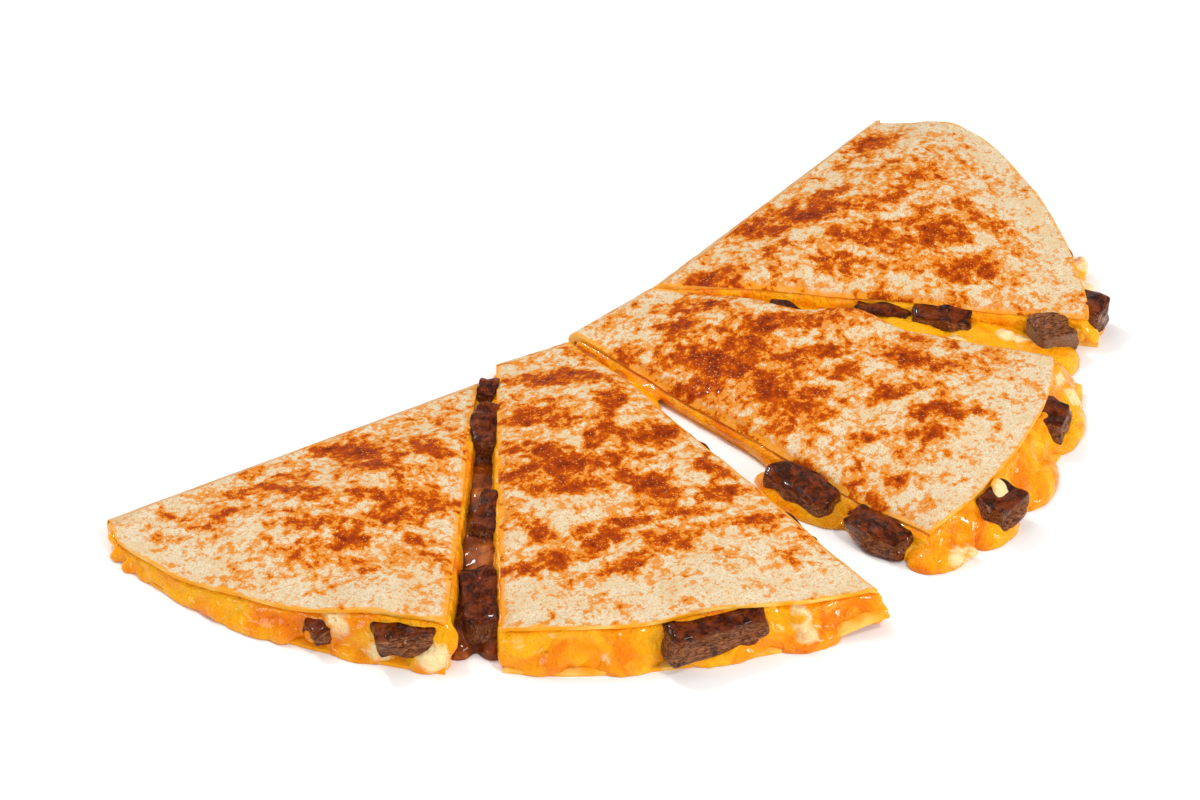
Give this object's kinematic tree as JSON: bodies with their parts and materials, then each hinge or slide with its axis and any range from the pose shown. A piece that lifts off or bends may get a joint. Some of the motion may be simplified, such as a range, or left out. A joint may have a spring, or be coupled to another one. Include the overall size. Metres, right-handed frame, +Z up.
{
  "type": "steak and cheese quesadilla",
  "caption": "Grilled flour tortilla folded over melted cheese and diced steak, cut across into fanned wedges that still join at the folded edge.",
  "frame": {"origin": "middle of the underside of the whole fan, on the surface that it lies on", "axes": "+X along the longer side of the fan, +Z up; the open rims with the filling face -Y and +X, and the folded edge faces -X and +Y"},
  "size_m": [0.2582, 0.2298, 0.0135],
  "materials": {
    "tortilla": "matte toasted flour dough with brown sear marks",
    "cheese": "glossy melted orange and white cheese",
    "steak": "moist grilled meat with a charred crust"
  },
  "bodies": {
    "root": {"melt_1_2": "cheese", "melt_3_4": "cheese", "steak_gap_a": "steak", "steak_gap_b": "steak", "steak_gap_c": "steak", "steak_gap_top": "steak", "steak_w1_chip": "steak", "steak_w1_front": "steak", "steak_w2_back_a": "steak", "steak_w2_back_b": "steak", "steak_w2_front": "steak", "steak_w3_back": "steak", "steak_w3_rim_a": "steak", "steak_w3_rim_b": "steak", "steak_w3_side_a": "steak", "steak_w3_side_b": "steak", "steak_w4_corner": "steak", "steak_w4_knob": "steak", "steak_w4_rim_a": "steak", "steak_w4_rim_b": "steak", "steak_w4_side_a": "steak", "steak_w4_side_b": "steak", "wedge_1_cheese": "cheese", "wedge_1_tortilla": "tortilla", "wedge_2_cheese": "cheese", "wedge_2_tortilla": "tortilla", "wedge_3_cheese": "cheese", "wedge_3_tortilla": "tortilla", "wedge_4_cheese": "cheese", "wedge_4_tortilla": "tortilla"}
  },
  "joints": []
}
